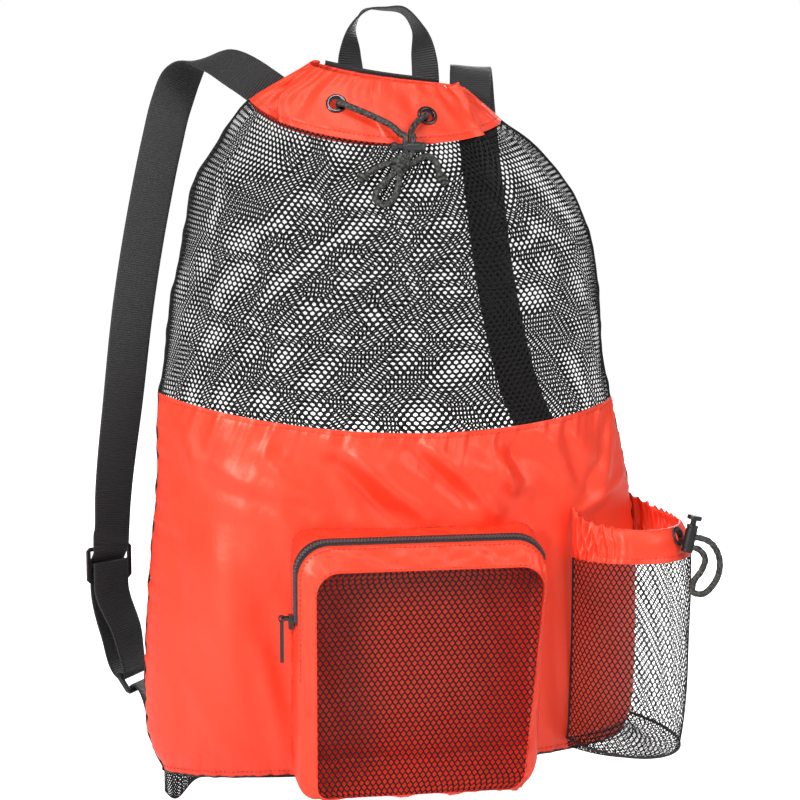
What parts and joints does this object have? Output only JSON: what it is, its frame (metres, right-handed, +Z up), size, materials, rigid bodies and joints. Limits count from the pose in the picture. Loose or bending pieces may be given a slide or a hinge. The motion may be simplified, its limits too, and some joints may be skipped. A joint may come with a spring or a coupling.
{
  "type": "swim backpack",
  "caption": "Drawstring swim backpack of coral polyester and black net, with webbing shoulder straps, a hanging loop, a zipped net pocket and an open bottle pocket.",
  "frame": {"origin": "underside of the top of the hanging loop, where a hook carries the bag", "axes": "+Z up, +X to the right of the front, -Y out of the front that carries the zip pocket"},
  "size_m": [0.5595, 0.2599, 0.7256],
  "materials": {
    "coral_polyester": "satin",
    "black_net": "matte",
    "black_webbing": "matte",
    "zip_tape": "matte",
    "braided_cord": "matte",
    "dark_metal": "satin",
    "black_plastic": "satin",
    "grey_plastic": "satin"
  },
  "bodies": {
    "bag": {"collar": "coral_polyester", "front_panel": "coral_polyester", "pocket_gusset": "coral_polyester", "bottle_cuff": "coral_polyester", "front_mesh": "black_net", "back_mesh": "black_net", "base_mesh": "black_net", "pocket_mesh": "black_net", "bottle_mesh": "black_net", "side_binding_left": "black_webbing", "side_binding_right": "black_webbing", "yoke_tape": "black_webbing", "grab_loop": "black_webbing", "strap_left": "black_webbing", "strap_right": "black_webbing", "anchor_tab_left": "black_webbing", "anchor_tab_right": "black_webbing", "zipper": "zip_tape", "drawcord_left": "braided_cord", "drawcord_right": "braided_cord", "bow_knot": "braided_cord", "bow_loop": "braided_cord", "bow_tail_left": "braided_cord", "bow_tail_right": "braided_cord", "end_knot_left": "braided_cord", "end_knot_right": "braided_cord", "bottle_cord": "braided_cord", "eyelet_left": "dark_metal", "eyelet_right": "dark_metal", "bottle_eyelet": "dark_metal", "zip_slider": "dark_metal", "slider_left": "black_plastic", "slider_right": "black_plastic", "ring_left": "black_plastic", "ring_right": "black_plastic", "bottle_lock_barrel": "black_plastic", "collar_lock_barrel": "grey_plastic"},
    "zip_pull": {"zip_pull": "dark_metal"},
    "collar_lock_plunger": {"collar_lock_plunger": "grey_plastic"},
    "bottle_lock_plunger": {"bottle_lock_plunger": "black_plastic"}
  },
  "joints": [
    {"name": "zip_pull_swing", "type": "hinge", "parent": "bag", "child": "zip_pull", "pos_m": [-0.11155, -0.156, -0.523], "axis": [0, 1, 0], "range_deg": [0, 170]},
    {"name": "collar_lock_press", "type": "slide", "parent": "bag", "child": "collar_lock_plunger", "axis": [1, 0, 0], "range_m": [0, 0.004], "stiffness_N_per_m": 600, "springref_m": -0.004},
    {"name": "bottle_lock_press", "type": "slide", "parent": "bag", "child": "bottle_lock_plunger", "axis": [-0.2201, 0, -0.9755], "range_m": [0, 0.0035], "stiffness_N_per_m": 600, "springref_m": -0.004}
  ]
}
